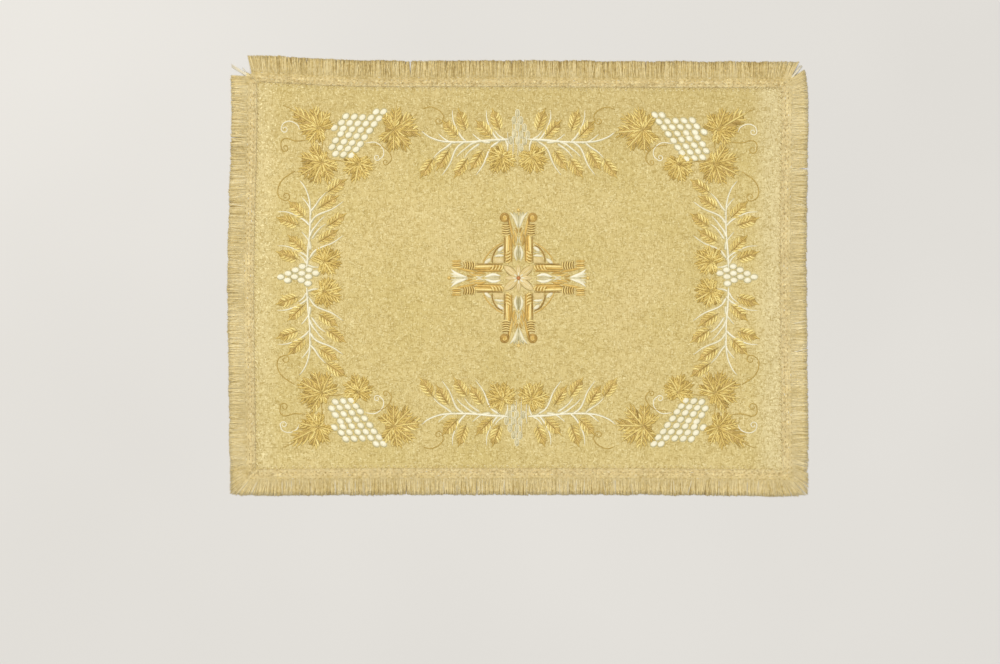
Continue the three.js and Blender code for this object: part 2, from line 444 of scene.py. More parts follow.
def brocade():
    """Gold jacquard: a satin ground with curls and dashes in patches, fine cords and glints of metal."""
    look = Look("brocade")
    place = look.millimetres()
    x, y, _ = look.split(place)
    patches = look.noise(place, PATCH_SIZE)
    cord_patches = look.noise(look.stretched(place, 1.3, 0.8), 10)
    figured = look.between(patches, 0.4, 0.56, 0.4, 0.95)
    curls = look.noise(place, CURL_SIZE, 1.0, 0.4, 0.9)
    dark_curl = look.times(look.between(look.away(curls, 0.5), 0.055, 0.015), figured)
    light_curl = look.times(look.between(look.away(curls, 0.6), 0.05, 0.01), figured)
    level = look.noise(look.stretched(place, 1 / DASH_LENGTH, 1 / DASH_BREADTH), 1.0, 0.5)
    upright = look.noise(look.stretched(place, 1 / DASH_BREADTH, 1 / DASH_LENGTH), 1.0, 0.5)
    dashes = look.math("MAXIMUM", look.between(level, 0.6, 0.69), look.between(upright, 0.62, 0.7))
    light_dashes = look.between(upright, 0.36, 0.29)
    cords = look.times(look.lines(x, CORD_PITCH), look.between(cord_patches, 0.52, 0.6))
    glint = look.between(look.cells(place, GLINT_SIZE), 0.88, 0.97)
    # Painted light: a paler band near each side for the sheen of the puckered cloth, and more of it on the
    # right, where a ridge slopes into shade.
    side_sheen_band = look.between(look.away(x), SIDE_BAND - 4, SIDE_BAND + 24)
    right_painted_light = look.between(x, SIDE_BAND - 14, SIDE_BAND + 10)
    weft = look.lines(look.times_plus(patches, 0.8, y), WEFT_PITCH)
    weave = look.times(weft, look.times_plus(look.lines(x, WARP_PITCH), 0.4, 0.6))
    base = look.tinted(
        look.ramp(look.noise(place, 110), (0.3, rgb(211, 191, 122)), (0.7, rgb(219, 199, 136))),
        # Darker towards the top edge: painted shade, for the weaker light on the cloth's upper part.
        (look.between(y, 120, 230), 0.46, rgb(198, 177, 114)),
        # Painted sheen and painted light near the sides.
        (look.math("ADD", right_painted_light, side_sheen_band), 0.22, rgb(232, 220, 178)),
        (light_curl, 0.4, rgb(243, 228, 168)),
        (light_dashes, 0.36, rgb(244, 229, 170)),
        (dark_curl, 0.44, rgb(171, 146, 68)),
        (dashes, 0.5, rgb(168, 140, 60)),
        (cords, 0.22, rgb(172, 145, 68)),
        (glint, look.times_plus(side_sheen_band, 0.26, 0.38), rgb(252, 238, 182)),
        (weave, 0.1, rgb(150, 124, 66)),
    )
    relief = look.times_plus(light_curl, 0.8, look.times(weave, 0.16))
    for sunk, depth in ((dark_curl, 0.7), (dashes, 0.5), (cords, 0.4)):
        relief = look.less(relief, look.times(sunk, depth))
    look.bump(relief, 0.15)
    gloss = look.less(look.less(0.62, look.times(glint, 0.18)), look.times(light_curl, 0.12))
    look.surface(Base_Color=base, Roughness=gloss, Metallic=0.15, Sheen_Weight=0.12, Sheen_Roughness=0.4)
    return look.material


FLOAT_LENGTH, FLOAT_BREADTH = 18, 0.9


def brocade_back():
    """The wrong side of the brocade: the same yarns in long floats, duller and more even."""
    look = Look("brocade_back")
    place = look.millimetres()
    streaks = look.noise(look.stretched(place, 1 / FLOAT_LENGTH, 1 / FLOAT_BREADTH), 1.0)
    base = look.tinted(
        look.ramp(look.noise(place, 80, 2.0), (0.35, rgb(186, 166, 112)), (0.65, rgb(202, 183, 130))),
        (look.between(streaks, 0.45, 0.6), 0.4, rgb(160, 138, 86)),
    )
    weft = look.lines(look.split(place)[1], WEFT_PITCH)
    look.bump(look.times_plus(streaks, 0.8, look.times(weft, 0.3)), 0.2)
    look.surface(Base_Color=base, Roughness=0.75, Sheen_Weight=0.2)
    return look.material


THREAD_PITCH = 0.45
# How far a thread moves along the shape on its way from the middle to the edge.
THREAD_SLANT = 0.25


def satin(name, dark, middle, light, metallic, roughness):
    """Satin stitch: threads side by side across each shape, with painted shade: lighter on its crown, dark at
    its edges.
    """
    look = Look(name)
    along, across, height = look.split(look.attribute("thread", "Vector"))
    wander = look.less(look.noise(look.millimetres(), 6.0), 0.5)
    lit = look.times_plus(wander, 0.5, look.attribute("tone"))
    colour = look.ramp(lit, (0.0, dark), (0.5, middle), (1.0, light))
    threads = look.lines(look.times_plus(across, THREAD_SLANT, along), THREAD_PITCH)
    colour = look.tinted(colour, (threads, 0.14, dark))
    # Painted shade: darker towards each shape's edges, where its height is low.
    colour = look.mix(look.between(height, 0.55, 0.0, 0.0, 0.55), colour, dark)
    look.bump(look.less(1.0, threads), 0.07)
    look.surface(Base_Color=colour, Roughness=roughness, Metallic=metallic, Sheen_Weight=0.1)
    return look.material


# The size of the spots of the heading's braid, of the marks along the free yarn, and of its twist.
BRAID_SPOT = 2.5
YARN_MARK = 3.4
YARN_TWIST = 1.1


def fringe_yarn():
    """Pale gold rayon yarn: each strand has its own tone, and its twist shows as fine slanting lines."""
    look = Look("fringe_yarn")
    place = look.millimetres()
    along, across, _ = look.split(look.attribute("thread", "Vector"))
    tone = look.attribute("tone")
    on_long_sides = look.between(look.away(look.split(place)[1]), SEAM_HALF_Y - 2, SEAM_HALF_Y + 3)
    mark_depth = look.times_plus(on_long_sides, 0.5, 0.45)
    lit = look.times_plus(look.less(look.noise(place, 40, 2.0), 0.5), 0.45, tone)
    lit = look.times_plus(look.less(look.noise(place, YARN_MARK), 0.5), mark_depth, lit)
    on_braid = look.between(along, -3.6, -5.2)
    spot = look.cells(place, BRAID_SPOT)
    dark_spot = look.times(look.between(spot, 0.3, 0.1), on_braid)
    light_spot = look.times(look.between(spot, 0.72, 0.92), on_braid)
    twist = look.lines(look.times_plus(across, 0.35, along), YARN_TWIST)
    shades = [(0.0, rgb(160, 130, 64)), (0.5, rgb(217, 196, 133)), (1.0, rgb(246, 231, 182))]
    colour = look.mix(look.between(tone, 1.04, 1.12), look.ramp(lit, *shades), rgb(238, 235, 220))
    colour = look.tinted(
        colour,
        (on_long_sides, 0.28, rgb(208, 182, 106)),
        (on_braid, 0.42, rgb(243, 223, 166)),
        (dark_spot, 0.4, rgb(166, 138, 66)),
        (light_spot, 0.7, rgb(252, 238, 186)),
        (twist, 0.1, rgb(150, 126, 74)),
    )
    look.bump(look.times_plus(light_spot, 2.0, twist), 0.05)
    look.surface(Base_Color=colour, Roughness=0.5, Sheen_Weight=0.25, Sheen_Roughness=0.35)
    return look.material


BROCADE = brocade()
BROCADE_BACK = brocade_back()
FRINGE = fringe_yarn()
GOLD = satin("gold_thread", rgb(150, 120, 46), rgb(214, 184, 96), rgb(250, 230, 148), 0.2, 0.42)
AMBER = satin("amber_thread", rgb(158, 122, 48), rgb(220, 182, 92), rgb(252, 230, 152), 0.2, 0.4)
WHITE = satin("white_thread", rgb(160, 151, 100), rgb(230, 218, 172), rgb(255, 249, 222), 0.0, 0.42)
PETAL = satin("petal_thread", rgb(190, 160, 92), rgb(222, 198, 132), rgb(245, 228, 178), 0.0, 0.45)
HEART = satin("heart_thread", rgb(140, 84, 34), rgb(184, 112, 48), rgb(224, 160, 92), 0.1, 0.45)

PANEL_CELL = 2.7


def panel_piece():
    """The brocade panel: a closed sheet with a fine grid above, flat underneath."""
    shapes = Shapes()
    columns = round(2 * PANEL_HALF_X / PANEL_CELL) + 1
    rows = round(2 * PANEL_HALF_Y / PANEL_CELL) + 1
    across = np.linspace(-PANEL_HALF_X, PANEL_HALF_X, columns)
    grid_x, grid_y = np.meshgrid(across, np.linspace(-PANEL_HALF_Y, PANEL_HALF_Y, rows))
    flat = np.column_stack([grid_x.ravel(), grid_y.ravel()])
    number = np.arange(len(flat)).reshape(rows, columns)
    upper, rim = grid_cells(number), grid_rim(number)
    under = len(flat) + np.arange(len(rim))
    walls = np.stack([rim, under, np.roll(under, -1), np.roll(rim, -1)], 1)
    top = np.column_stack([laid(flat), panel_top(flat)])
    bottom = np.column_stack([laid(flat[rim]), np.zeros(len(rim))])
    points = np.concatenate([top, bottom])
    shapes.add(points, [upper, walls, under[None, ::-1]], np.zeros((len(points), 3)), 0.5)
    slots = np.concatenate([np.zeros(len(upper), int), np.ones(len(walls) + 1, int)])
    panel = shapes.build("brocade_panel", BROCADE, BROCADE_BACK, slots=slots)
    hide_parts("panel")
    return panel


# The fringe's strands, in two layers. A strand of the upper one starts at the seam and runs over the heading.
# Its reach is counted from the heading's outer edge, where it comes free, and its last step is at its tip.
STRAND_PITCH = 0.92
UPPER_LAYER = dict(
    width=0.84, thickness=0.44, tone=0.62, tone_spread=0.1, jitter=0.4, gathered=1,
    reach=np.array([-14.45, -12.9, -10.8, -5.5, -0.5, 2.6, 6.0, 10.5, 15.5, 22]),
    height=np.array([1.4, 1.72, 2.05, 2.15, 2.15, 1.9, 1.45, 1.12, 1.0, 0.95]),
)
# The lower layer's darker tone is painted shade: it shows in the gaps between the upper layer's clumps.
LOWER_LAYER = dict(
    width=1.25, thickness=0.44, tone=0.3, tone_spread=0.1, jitter=0.25, gathered=0,
    reach=np.array([-1.6, 0.6, 3.2, 6.4, 10.5, 15.5, 22]),
    height=np.array([1.6, 1.5, 1.2, 0.85, 0.7, 0.62, 0.6]),
)
# Strays lie slanting over the others.
STRAY_LAYER = dict(
    width=0.95, thickness=0.4,
    reach=np.array([-0.6, 2.6, 6.0, 10.5, 15.5, 22]),
    height=np.array([2.0, 2.05, 1.8, 1.5, 1.38, 1.3]),
)
STRAY_PITCH = 3.6
STRAY_SWAY = 5.5
STRAY_FROM_CORNER = 16
# Towards a corner the yarn looks lighter, and its strands more alike.
CORNER_LIGHT = 0.14
CORNER_CALM = 0.6
LIGHTEST_TONE = 0.95
# The lower layer's pitch, as a multiple of the upper one's.
LOWER_EVERY = 1.15
# On the heading a strand's own tone fades into the braid's.
HEADING_TONE = 0.6
HEADING_OWN_SHARE = 0.35
# A strand's width at its two ends, and its thickness where it starts, as shares of the whole.
END_WIDTHS = (0.6, 0.75)
START_THICKNESS = 0.5
CLUMP_SHORTEST, CLUMP_LONGEST = 3.0, 7.4
CLUMP_GATHERING = (0.15, 0.5)
STRAND_SECTION = np.array([(1, 0), (0, 1), (-1, 0), (0, -1)], float)
HEADING_CELLS = 160
HEADING_ROWS = np.array([0.0, 3.4, 7.5, 13.2, 14.5])
HEADING_TOPS = np.array([1.32, 2.0, 2.2, 2.25, 1.95])
HEADING_LOW = PANEL_THICKNESS - 0.05


def on_side(side, along, out):
    """A side's own coordinates, along it and out from its seam, as the flat cloth's x and y."""
    far = side["out"] + np.asarray(out, float)
    along = np.asarray(along, float)
    turned = [(along, far), (far, -along), (-along, -far), (-far, along)][side["turns"]]
    return np.stack(np.broadcast_arrays(*turned), -1)


def near_end(side, along):
    return side["start"] if along < 0 else side["end"]


def near_corner(side, along, run):
    """From 0 at this run from the corner to 1 at the corner."""
    half = side["half"] + HEADING_WIDTH
    return np.clip(1 - (half - np.abs(along)) / run, 0, 1)


def strand_angle(side, along):
    near = near_corner(side, along, CORNER_FAN_RUN)
    angle = math.copysign(near_end(side, along)["fan"] * CORNER_FAN * near**1.6, along)
    for parting in PARTINGS:
        if parting["side"] == side["name"]:
            away = along - parting["along"]
            lean = parting["opening"] / 2 / STRAND_LENGTH * math.exp(-abs(away) / PARTING_REACH)
            angle += math.copysign(lean, away)
    return angle + 0.012 * math.sin(along / 23)


def add_strand(shapes, side, layer, along, angle, length, sway=0.0, tone=0.6, lift=0.0):
    """One strand, straight over the heading, then down to the surface and along it at an angle."""
    reach = layer["reach"] * np.where(layer["reach"] > 0, length / layer["reach"][-1], 1)
    mitre = max(0.0, abs(along) - side["half"]) - HEADING_WIDTH - 0.1
    reach = np.maximum(reach, mitre + 0.01 * np.arange(len(reach)))
    free = np.maximum(reach, 0)
    aside = sway * (free / length) ** 1.4
    at_along = along + free * math.sin(angle) + aside * math.cos(angle)
    at_out = HEADING_WIDTH + np.minimum(reach, 0) + free * math.cos(angle) - aside * math.sin(angle)
    path = on_side(side, at_along, at_out)
    width = np.full(len(reach), layer["width"])
    width[[0, -1]] *= END_WIDTHS
    thickness = np.full(len(reach), layer["thickness"])
    thickness[0] *= START_THICKNESS
    height = np.maximum(layer["height"] + lift, thickness + 0.02)
    braided = HEADING_OWN_SHARE * tone + (1 - HEADING_OWN_SHARE) * HEADING_TONE
    own = smoothstep(reach, -5, 5)
    tones = own * tone + (1 - own) * braided + side["light"]
    tones = np.repeat(tones, len(STRAND_SECTION))
    shapes.sweep(path, width, height, thickness, STRAND_SECTION, tones, along=reach)


def clumps(first, last, draw):
    """The clumps that the free strands gather into, along one side."""
    made = []
    start = first
    while start < last:
        end = start + draw.uniform(CLUMP_SHORTEST, CLUMP_LONGEST)
        lean, gather = draw.normal(0, 0.7), draw.uniform(*CLUMP_GATHERING)
        tone, lift, length = draw.normal(0, 0.06), draw.uniform(0, 0.22), draw.normal(0, 0.35)
        made.append(dict(
            end=end, middle=(start + end) / 2, lean=lean, gather=gather, tone=tone, lift=lift, length=length,
        ))
        start = end
    return made


def add_strands(shapes, side, draw):
    half = side["half"] + HEADING_WIDTH
    first = -half + side["start"]["room"]
    last = half - side["end"]["room"]
    groups = clumps(first - 1, last + 1, draw)
    ends = np.array([group["end"] for group in groups])
    for layer, pitch in ((LOWER_LAYER, STRAND_PITCH * LOWER_EVERY), (UPPER_LAYER, STRAND_PITCH)):
        count = int((last - first) / pitch)
        for i in range(count + 1):
            along = first + (last - first) * i / count
            group = groups[int(np.searchsorted(ends, along))]
            gathered = layer["gathered"]
            sway = draw.normal(0, layer["jitter"])
            sway += gathered * (group["gather"] * (group["middle"] - along) + group["lean"])
            angle = strand_angle(side, along)
            stretch = near_end(side, along)["stretch"]
            trimmed = STRAND_LENGTH - 0.5 + 0.35 * math.sin(along / 11 + side["turns"])
            length = (trimmed + group["length"] + draw.normal(0, 0.35)) / math.cos(angle) ** stretch
            tone = layer["tone"] + draw.normal(0, layer["tone_spread"]) + gathered * group["tone"]
            near = near_corner(side, along, CORNER_LOOK_RUN)
            vivid = side["vivid"] * (1 - CORNER_CALM * near)
            tone = UPPER_LAYER["tone"] + vivid * (tone - UPPER_LAYER["tone"])
            tone = min(tone + CORNER_LIGHT * near, LIGHTEST_TONE)
            lift = gathered * group["lift"] + draw.normal(0, 0.04)
            add_strand(shapes, side, layer, along, angle, length, sway, tone, lift)
    for along in np.arange(STRAY_FROM_CORNER - half, half - STRAY_FROM_CORNER, STRAY_PITCH):
        along += draw.uniform(-1, 1)
        length = STRAND_LENGTH - draw.uniform(0.8, 3)
        tone = draw.choice((0.4, 0.78)) + draw.normal(0, 0.08)
        sway = draw.uniform(-STRAY_SWAY, STRAY_SWAY)
        add_strand(shapes, side, STRAY_LAYER, along, strand_angle(side, along), length, sway, tone)


def add_heading(shapes, side):
    """The heading's tape, that the strands are sewn to: mitred at its ends, or straight where it is cut."""
    places = np.linspace(-1, 1, HEADING_CELLS + 1)
    cuts = np.array([near_end(side, place)["cut"] for place in places])
    mitre = np.minimum(HEADING_ROWS[None], HEADING_WIDTH - cuts[:, None])
    along = places[:, None] * (side["half"] + mitre)
    flat = laid(on_side(side, along, np.broadcast_to(HEADING_ROWS, along.shape)).reshape(-1, 2))
    upper = np.column_stack([flat, np.tile(HEADING_TOPS, len(places))])
    lower = np.column_stack([flat, np.full(len(flat), HEADING_LOW)])
    number = np.arange(along.size).reshape(along.shape)
    cells, rim = grid_cells(number), grid_rim(number)
    onward = np.roll(rim, -1)
    walls = np.stack([rim, onward, onward + len(flat), rim + len(flat)], 1)
    reach = np.broadcast_to(HEADING_ROWS - HEADING_WIDTH, along.shape).ravel()
    thread = np.column_stack([reach, np.zeros(len(flat)), np.ones(len(flat))])
    faces = [cells[:, ::-1], cells + len(flat), walls]
    shapes.add(np.concatenate([upper, lower]), faces, np.tile(thread, (2, 1)), 0.5)


SATIN_SECTION = np.array([(1, 0), (0.74, 0.7), (0, 1), (-0.74, 0.7), (-1, 0), (0, -0.3)], float)
SEAM_STITCH = dict(pitch=3.9, out=-0.9, reach=1.7, width=1.2, height=0.28)
SEAM_TONES = (0.54, 0.3)
SEAM_SPOT = dict(length=3.2, width=1.8, height=0.4)
SEAM_SPOTS_OUT = (1.6, -3.8)
CHAIN_PITCH = 3.4
CHAIN_ROWS = (5.2, 9.4, 13.2)
CHAIN_TONES = (0.3, 0.86)
CHAIN_GAP = 0.3


def stitch_bed(side, along, out):
    """The height of what a stitch lies on: the panel inside the seam, the heading's strands outside it."""
    inside = panel_top(on_side(side, along, out))
    outside = HEADING_TOPS[2] + 0.3
    return inside + (outside - inside) * smoothstep(np.asarray(out, float), -0.6, 3.4)


def add_stitch(shapes, side, along, out, width, tone, height=0.34):
    """One stitch between two places along and out, arched and sunk at its ends."""
    share = np.linspace(0, 1, 5)
    along, out = np.interp(share, (0, 1), along), np.interp(share, (0, 1), out)
    arch = np.sin(math.pi * share)
    base = stitch_bed(side, along, out) - 0.12 + 0.16 * arch
    shapes.sweep(on_side(side, along, out), width * (0.45 + 0.55 * arch), base, height, STRAND_SECTION, tone)


def add_topstitching(shapes, side, draw):
    """The dark zigzag that sews the fringe to the cloth, with light spots at its turns, and the rows of chain
    stitch that hold the strands on the heading."""
    count = int(2 * side["half"] / SEAM_STITCH["pitch"])
    turns = np.linspace(-side["half"], side["half"], count + 1)
    for i, (start, end) in enumerate(zip(turns, turns[1:])):
        way = SEAM_STITCH["reach"] if i % 2 else -SEAM_STITCH["reach"]
        out = (SEAM_STITCH["out"] - way, SEAM_STITCH["out"] + way)
        tone = SEAM_TONES[i % 2] + draw.normal(0, 0.1)
        add_stitch(shapes, side, (start, end), out, SEAM_STITCH["width"], tone, SEAM_STITCH["height"])
        half = SEAM_SPOT["length"] / 2 * draw.uniform(0.5, 1.2)
        spot = SEAM_SPOTS_OUT[i % 2] + draw.normal(0, 0.3)
        tone = draw.uniform(0.5, 0.9)
        ends = (start - half, start + half)
        add_stitch(shapes, side, ends, (spot, spot), SEAM_SPOT["width"], tone, SEAM_SPOT["height"])
    for row in CHAIN_ROWS:
        whole = side["half"] + row - 1 - max(side["start"]["cut"], side["end"]["cut"])
        count = int(2 * whole / CHAIN_PITCH)
        turns = np.linspace(-whole, whole, count + 1)
        for i, (start, end) in enumerate(zip(turns, turns[1:])):
            tone = CHAIN_TONES[i % 2] + draw.normal(0, 0.14)
            aside = row + draw.normal(0, 0.3)
            add_stitch(shapes, side, (start + CHAIN_GAP, end - CHAIN_GAP), (aside, aside), 1.0, tone)


BUNDLE_PITCH = 0.68
BUNDLE_TONE = 1.2


def add_loose_bundle(shapes, side, bundle, draw):
    """A few strands that lie together, loose across an open corner."""
    along = side["half"] + HEADING_WIDTH - bundle["from_corner"]
    for i in range(bundle["count"]):
        aside = (i - (bundle["count"] - 1) / 2) * BUNDLE_PITCH
        angle = math.radians(bundle["degrees"]) + draw.normal(0, 0.012)
        length = bundle["length"] + draw.normal(0, 0.6)
        lift = 0.15 + 0.12 * (i % 2)
        across = aside * math.cos(angle)
        add_strand(
            shapes, side, UPPER_LAYER, along + across, angle, length, aside * 0.15, BUNDLE_TONE, lift
        )


STUB = dict(from_corner=3.5, degrees=52, length=8.5, sway=0.4, tone=1.1)


def add_stub(shapes, side):
    """Two short strands that stand out between the loose bundle and the other fringe."""
    along = side["half"] + HEADING_WIDTH - STUB["from_corner"]
    angle = math.radians(STUB["degrees"])
    own = (STUB["length"], STUB["sway"], STUB["tone"])
    for aside in (0, 0.7):
        add_strand(shapes, side, UPPER_LAYER, along + aside, angle, *own)


def fringe_pieces():
    made = []
    for side in SIDES:
        draw = np.random.default_rng(40 + side["turns"])
        shapes = Shapes()
        add_heading(shapes, side)
        add_strands(shapes, side, draw)
        add_topstitching(shapes, side, draw)
        for bundle in LOOSE_BUNDLES:
            if bundle["side"] == side["name"]:
                add_loose_bundle(shapes, side, bundle, draw)
        if side["name"] == "fringe_left":
            add_stub(shapes, side)
        piece = shapes.build("brush_" + side["name"], FRINGE)
        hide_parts(side["name"])
        made.append(piece)
    return made


def curve(points, steps):
    """A smooth line through a few points, with evenly spaced steps."""
    points = np.asarray(points, float)
    padded = np.concatenate([[2 * points[0] - points[1]], points, [2 * points[-1] - points[-2]]])
    dense = []
    for a, b, c, d in zip(padded, padded[1:], padded[2:], padded[3:]):
        t = np.linspace(0, 1, 16, endpoint=False)[:, None]
        bend = 2 * b + (c - a) * t + (2 * a - 5 * b + 4 * c - d) * t**2 + (3 * b - a - 3 * c + d) * t**3
        dense.append(bend / 2)
    dense = np.concatenate([*dense, points[-1:]])
    run = run_along(dense)
    even = np.linspace(0, run[-1], steps)
    return np.column_stack([np.interp(even, run, dense[:, k]) for k in (0, 1)])


def curled(points, radius, turns, way, steps=30):
    """A line through a few points that ends in a spiral, turning left for way 1 and right for way -1."""
    lead = curve(points, 24)
    heading = math.atan2(*(lead[-1] - lead[-2])[::-1])
    place = lead[-1]
    coil = []
    for i in range(steps):
        share = i / steps
        turn = turns * 2 * math.pi / steps
        stride = radius * (1 - 0.72 * share) * turn
        heading += way * turn
        place = place + stride * np.array([math.cos(heading), math.sin(heading)])
        coil.append(place)
    return np.concatenate([lead, coil])


def turned(points, angle, at=(0, 0)):
    """Points turned by an angle in degrees and moved."""
    c, s = math.cos(math.radians(angle)), math.sin(math.radians(angle))
    points = np.asarray(points, float)
    return points @ np.array([(c, s), (-s, c)]) + np.asarray(at, float)


class Placing:
    """Carries a motif's own coordinates to the cloth: where its origin goes, and where its two axes point."""

    def __init__(self, origin, first, second):
        self.origin = np.array(origin, float)
        self.axes = np.array([first, second], float)

    def __call__(self, points):
        return self.origin + np.asarray(points, float) @ self.axes


# How far a stitch's edges sink into the cloth.
SINK = 0.12
# A padded oval's rings, as shares of its size and its height.
OVAL_RINGS = [(1.0, 0.0), (0.93, 0.42), (0.74, 0.74), (0.42, 0.95)]
OVAL_SIDES = 18


class Embroidery:
    """The satin stitch, laid on the panel's upper face: one set of shapes for each thread."""

    def __init__(self, seed):
        self.gold, self.ears, self.white = Shapes(), Shapes(), Shapes()
        self.amber, self.petals, self.heart = Shapes(), Shapes(), Shapes()
        self.draw = np.random.default_rng(seed)

    def tone(self, tone, spread=0.07):
        return tone + self.draw.normal(0, spread)

    def stroke(self, shapes, path, width, height, tone, blunt=0.5, lift=0.0):
        """One raised stroke of satin stitch. A blunt of 0 tapers it to both ends, and 1 leaves it square."""
        path = np.asarray(path, float)
        share = np.linspace(0, 1, len(path))
        taper = np.maximum(np.sin(math.pi * share), 0) ** (1 - blunt)
        taper = np.maximum(taper, 0.14)
        base = panel_top(path) - SINK + lift
        full = height * (0.35 + 0.65 * taper) + SINK
        shapes.sweep(path, width * taper, base, full, SATIN_SECTION, tone)

    def stem(self, shapes, path, width, height, tone, tip=0.45):
        """A line of narrow satin stitch that thins towards its far end."""
        share = np.linspace(0, 1, len(path))
        taper = 1 - (1 - tip) * share**1.4
        ends = np.minimum(np.minimum(share, 1 - share) * 14 + 0.35, 1)
        base = panel_top(path) - SINK
        shapes.sweep(path, width * taper * ends, base, height * taper + SINK, SATIN_SECTION, tone)

    def oval(self, shapes, at, angle, length, width, height, tone, lift=0.0, crown_highlight_tone=None):
        """A padded oval, such as one grape: rings that climb to its crown, and may be painted lighter towards
        it as a highlight.
        """
        around = np.linspace(0, 2 * math.pi, OVAL_SIDES, endpoint=False)
        unit = np.column_stack([np.cos(around) * length / 2, np.sin(around) * width / 2])
        flat = [turned(unit * share, angle, at) for share, _ in OVAL_RINGS] + [np.array([at], float)]
        rise = [np.full(OVAL_SIDES, level) for _, level in OVAL_RINGS] + [np.ones(1)]
        flat, rise = np.concatenate(flat), np.concatenate(rise)
        base = panel_top(np.array([at], float))[0] - SINK + lift
        points = np.column_stack([laid(flat), base + (height + SINK) * rise])
        here, after = around_ring(OVAL_SIDES)
        wall = np.stack([here, after, after + OVAL_SIDES, here + OVAL_SIDES], 1)
        faces = [wall + ring * OVAL_SIDES for ring in range(len(OVAL_RINGS) - 1)]
        crown = (len(OVAL_RINGS) - 1) * OVAL_SIDES
        faces.append(np.stack([crown + here, crown + after, np.full(OVAL_SIDES, crown + OVAL_SIDES)], 1))
        faces.append(here[::-1][None])
        along = turned(flat - np.asarray(at, float), -angle)[:, 0]
        thread = np.column_stack([along, np.zeros(len(flat)), rise])
        tones = tone + ((crown_highlight_tone or tone) - tone) * rise**2
        shapes.add(points, faces, thread, tones)

    def patch(self, shapes, outline, middle, height, tone):
        """A low filled shape that is seen whole from its middle, under the strokes."""
        outline = np.asarray(outline, float)
        turn = np.roll(outline, -1, 0)
        if (outline[:, 0] * turn[:, 1] - outline[:, 1] * turn[:, 0]).sum() < 0:
            outline = outline[::-1]
        count = len(outline)
        middle = np.asarray(middle, float)
        inner = middle + (outline - middle) * 0.9
        flat = np.concatenate([outline, inner, [middle]])
        z = panel_top(flat) + np.concatenate([np.full(count, -SINK), np.full(count + 1, height)])
        here, after = around_ring(count)
        slope = np.stack([here, after, count + after, count + here], 1)
        cover = np.stack([count + here, count + after, np.full(count, 2 * count)], 1)
        under = np.stack([after, here, np.full(count, 2 * count + 1)], 1)
        points = np.column_stack([laid(flat), z])
        below = np.append(laid([middle])[0], panel_top([middle])[0] - SINK)
        points = np.vstack([points, below])
        level = np.full(len(points), 0.5)
        thread = np.column_stack([points[:, 0] - points[:, 1], np.zeros(len(points)), level])
        shapes.add(points, [slope, cover, under], thread, tone)


# A vine leaf's lobes, from its tip round both sides: each one's angle, and its length as a share of the
# leaf's reach.
LEAF_LOBES = table(
    "angle share",
    (0, 1.0), (42, 0.9), (-42, 0.9), (86, 0.82), (-86, 0.82), (132, 0.66), (-132, 0.66),
)
# The ridges on each side of a lobe's vein: where each starts along it, and how long it is, as shares of the
# lobe's length.
LOBE_RIDGES = table("start run", (0.08, 0.36), (0.27, 0.41), (0.46, 0.38), (0.65, 0.27))
LOBE_BREADTH = 0.25
RIDGE_WIDTH, RIDGE_HEIGHT = 3.2, 0.95
RIDGE_SLANT = 31
VEIN_WIDTH, VEIN_HEIGHT = 2.8, 1.05
# Painted shade under a leaf or an ear: a dark patch, seen in the gaps between its raised strokes.
SHADE_PATCH_HEIGHT = 0.12
LEAF_SHADE_TONE, EAR_SHADE_TONE = 0.16, 0.2


def leaf_painted_shade(work, place, at, direction, reach, lobes):
    """Painted shade under a leaf's ridges: a dark patch a little inside their ends."""
    around = np.radians(np.arange(0, 360, 3))
    outline = np.full(len(around), 0.3 * reach)
    shares = np.linspace(0.05, 0.86, 50)
    for lobe in lobes:
        away = around - math.radians(lobe["angle"])
        away = np.abs((away + math.pi) % (2 * math.pi) - math.pi)
        breadth = LOBE_BREADTH * lobe["length"] * np.sin(math.pi * shares**0.8) ** 0.8
        edge = np.arctan2(breadth * 0.8, shares * lobe["length"])
        reached = np.where(edge[None] >= away[:, None], shares[None] * lobe["length"], 0).max(1)
        outline = np.maximum(outline, reached)
    shape = np.column_stack([np.cos(around) * outline, np.sin(around) * outline])
    outline = place(turned(shape, direction, at))
    work.patch(work.gold, outline, place([at])[0], SHADE_PATCH_HEIGHT, LEAF_SHADE_TONE)


def vine_leaf(work, place, at, direction, reach, shares=()):
    """A vine leaf. Each lobe is a vein with slanting ridges of gold satin stitch, and painted shade in the
    gaps between them.

    The shares give some lobes, by their angle, another length than the usual one.
    """
    usual = {lobe["angle"]: lobe["share"] for lobe in LEAF_LOBES}
    lobes = [dict(angle=angle, length=reach * share) for angle, share in {**usual, **dict(shares)}.items()]
    leaf_painted_shade(work, place, at, direction, reach, lobes)
    slant = math.radians(RIDGE_SLANT)
    for lobe in lobes:
        length = lobe["length"]
        aim = direction + lobe["angle"] + work.draw.normal(0, 2)
        # Painted sheen: the ridges on one side of a vein are lighter than on the other, by the vein's
        # direction.
        lean = 0.12 * math.sin(math.radians(aim + 50))
        for ridge in LOBE_RIDGES:
            for way in (1, -1):
                run = ridge["run"] * length * (1 + work.draw.normal(0, 0.08))
                start = np.array([(ridge["start"] + 0.04 * way) * length, way * 0.9])
                end = start + np.array([math.cos(slant), way * math.sin(slant)]) * run
                bow = np.array([-0.05, way * 0.08]) * run
                path = place(turned(curve([start, (start + end) / 2 + bow, end], 6), aim, at))
                tone = work.tone(0.55 + way * lean, 0.15)
                work.stroke(work.gold, path, RIDGE_WIDTH, RIDGE_HEIGHT, tone, lift=0.08)
        vein = place(turned(curve([(1, 0), (length * 0.5, 0.4), (length, 0)], 7), aim, at))
        work.stroke(work.gold, vein, VEIN_WIDTH, VEIN_HEIGHT, work.tone(0.7, 0.1), blunt=0.45, lift=0.1)


EAR_LENGTH = 30.5
EAR_PAIRS = 4
# Half of the outline of the painted shade round an ear, as shares of the ear's length.
EAR_SIDE = [(-0.5, 0), (-0.3, 0.21), (0, 0.26), (0.3, 0.19), (0.5, 0)]
GRAIN_WIDTH = 3.2
GRAIN = [(0, 0.5), (3.0, 4.6), (8.6, 8.4)]


